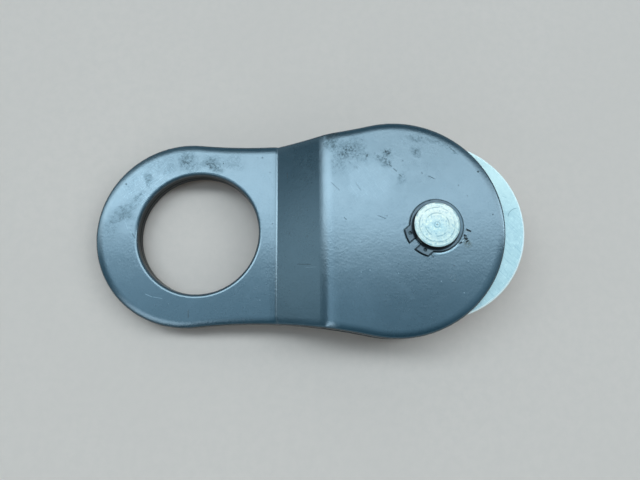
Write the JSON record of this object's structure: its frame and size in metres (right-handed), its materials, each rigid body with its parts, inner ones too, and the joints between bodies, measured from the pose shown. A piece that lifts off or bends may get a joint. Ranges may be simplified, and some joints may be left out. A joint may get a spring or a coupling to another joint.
{
  "type": "snatch block",
  "caption": "Snatch block: a grooved sheave on a pin between two joggled steel side plates that swing open about the pin, with a round shackle eye at the other end.",
  "frame": {"origin": "centre of the round shackle eye, midway between the two side plates", "axes": "+X from the shackle eye to the sheave pin, +Z along the eye and pin axes towards the pin end without the grease nipple, +Y across the plates"},
  "size_m": [0.2441, 0.1214, 0.0446],
  "materials": {
    "plate_paint": "gloss blue-grey paint",
    "zinc_plate": "bright zinc plating on turned steel",
    "zinc_pin": "bright zinc plating on turned steel",
    "phosphate": "dark phosphated spring steel",
    "plain_steel": "plain steel",
    "bronze": "turned bronze"
  },
  "bodies": {
    "lower_plate": {"lower_side_plate": "plate_paint"},
    "upper_plate": {"upper_side_plate": "plate_paint"},
    "sheave": {"sheave": "zinc_plate", "sheave_bushing": "bronze"},
    "axle": {"axle_pin": "zinc_pin", "upper_retaining_ring": "phosphate", "lower_retaining_ring": "phosphate", "grease_nipple_body": "zinc_pin", "grease_nipple_spring": "plain_steel"},
    "upper_washer": {"upper_thrust_washer": "plain_steel"},
    "lower_washer": {"lower_thrust_washer": "plain_steel"},
    "nipple_ball": {"grease_nipple_ball": "plain_steel"}
  },
  "joints": [
    {"name": "upper_plate_swing", "type": "hinge", "parent": "lower_plate", "child": "upper_plate", "pos_m": [0.1342, 0, 0], "axis": [0, 0, 1], "continuous": true},
    {"name": "sheave_turn", "type": "hinge", "parent": "lower_plate", "child": "sheave", "pos_m": [0.1342, 0, 0], "axis": [0, 0, 1], "continuous": true},
    {"name": "axle_turn", "type": "hinge", "parent": "lower_plate", "child": "axle", "pos_m": [0.1342, 0, 0], "axis": [0, 0, 1], "continuous": true},
    {"name": "upper_washer_turn", "type": "hinge", "parent": "lower_plate", "child": "upper_washer", "pos_m": [0.1342, 0, 0], "axis": [0, 0, 1], "continuous": true},
    {"name": "lower_washer_turn", "type": "hinge", "parent": "lower_plate", "child": "lower_washer", "pos_m": [0.1342, 0, 0], "axis": [0, 0, 1], "continuous": true},
    {"name": "nipple_ball_press", "type": "slide", "parent": "axle", "child": "nipple_ball", "axis": [0, 0, 1], "range_m": [0, 0.0006], "stiffness_N_per_m": 300, "deforming": ["grease_nipple_spring"]}
  ]
}
